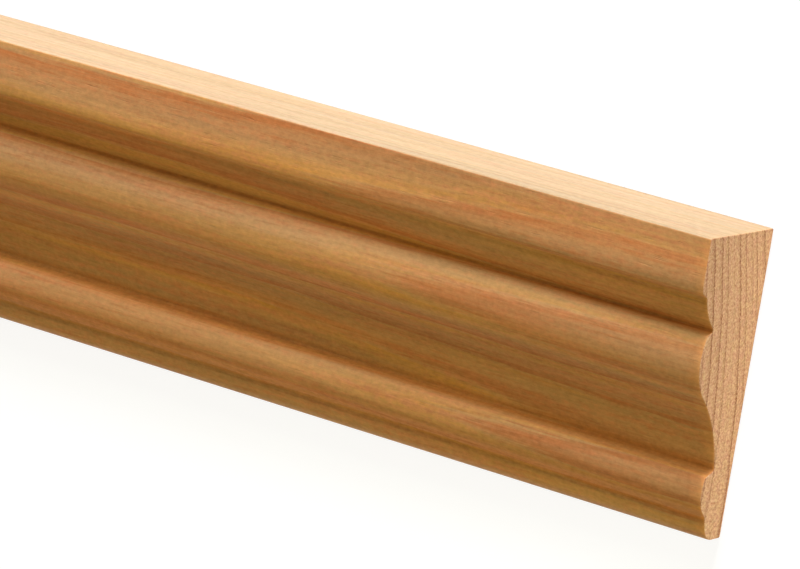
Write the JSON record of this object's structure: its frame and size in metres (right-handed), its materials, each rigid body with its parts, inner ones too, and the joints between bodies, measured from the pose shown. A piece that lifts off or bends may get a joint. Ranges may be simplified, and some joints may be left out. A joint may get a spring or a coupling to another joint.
{
  "type": "decorative profile moulding",
  "caption": "Straight length of planed softwood moulding with a flat back and a fascia, ovolo, quirk, ogee and bead across its face, for trimming walls, doors and panels.",
  "frame": {"origin": "middle of the flat back, which is the underside as it lies, at half its length and half its width", "axes": "+X along the length towards the near end, +Y across the width towards the thick edge, +Z out of the flat back towards the moulded face"},
  "size_m": [2.4, 0.057, 0.022],
  "materials": {
    "planed_softwood": "planed, with no paint or lacquer"
  },
  "bodies": {
    "root": {"moulding": "planed_softwood"}
  },
  "joints": []
}
